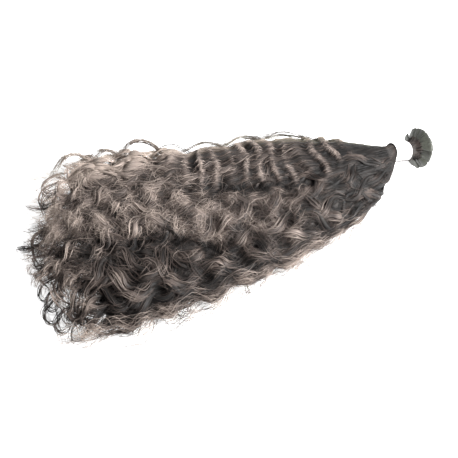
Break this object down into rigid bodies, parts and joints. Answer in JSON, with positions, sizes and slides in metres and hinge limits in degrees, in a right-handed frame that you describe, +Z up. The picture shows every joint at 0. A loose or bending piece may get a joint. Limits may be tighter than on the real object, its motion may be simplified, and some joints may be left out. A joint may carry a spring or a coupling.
{
  "type": "hair extension bundle",
  "caption": "Bundle of loose wavy hair tied at its neck by a white wound band, with a rosette of flat bonded tips that join each strand to natural hair.",
  "frame": {"origin": "under the middle of the lying bundle, on the surface it lies on", "axes": "+X from the loose ends to the bonded tips, +Y to the far side, +Z up"},
  "size_m": [0.4212, 0.2038, 0.0486],
  "materials": {
    "hair": "dark ash brown wavy hair, satin",
    "band": "white wound tape, matte",
    "bond": "dark grey-brown bonding resin, satin"
  },
  "bodies": {
    "root": {"hair_length": "hair", "neck_band": "band", "bond_tip_01": "bond", "bond_tip_02": "bond", "bond_tip_03": "bond", "bond_tip_04": "bond", "bond_tip_05": "bond", "bond_tip_06": "bond", "bond_tip_07": "bond", "bond_tip_08": "bond", "bond_tip_09": "bond", "bond_tip_10": "bond", "bond_tip_11": "bond", "bond_tip_12": "bond", "bond_tip_13": "bond", "bond_tip_14": "bond", "bond_tip_15": "bond", "bond_tip_16": "bond", "bond_tip_17": "bond", "bond_tip_18": "bond", "bond_tip_19": "bond", "bond_tip_20": "bond", "bond_tip_21": "bond", "bond_tip_22": "bond", "bond_tip_23": "bond", "bond_tip_24": "bond", "bond_tip_25": "bond", "bond_tip_26": "bond", "bond_tip_27": "bond", "bond_tip_28": "bond", "bond_tip_29": "bond", "bond_tip_30": "bond", "bond_tip_31": "bond", "bond_tip_32": "bond", "bond_tip_33": "bond", "bond_tip_34": "bond", "bond_tip_35": "bond", "bond_tip_36": "bond", "bond_tip_37": "bond", "bond_tip_38": "bond", "bond_tip_39": "bond", "bond_tip_40": "bond"}
  },
  "joints": []
}
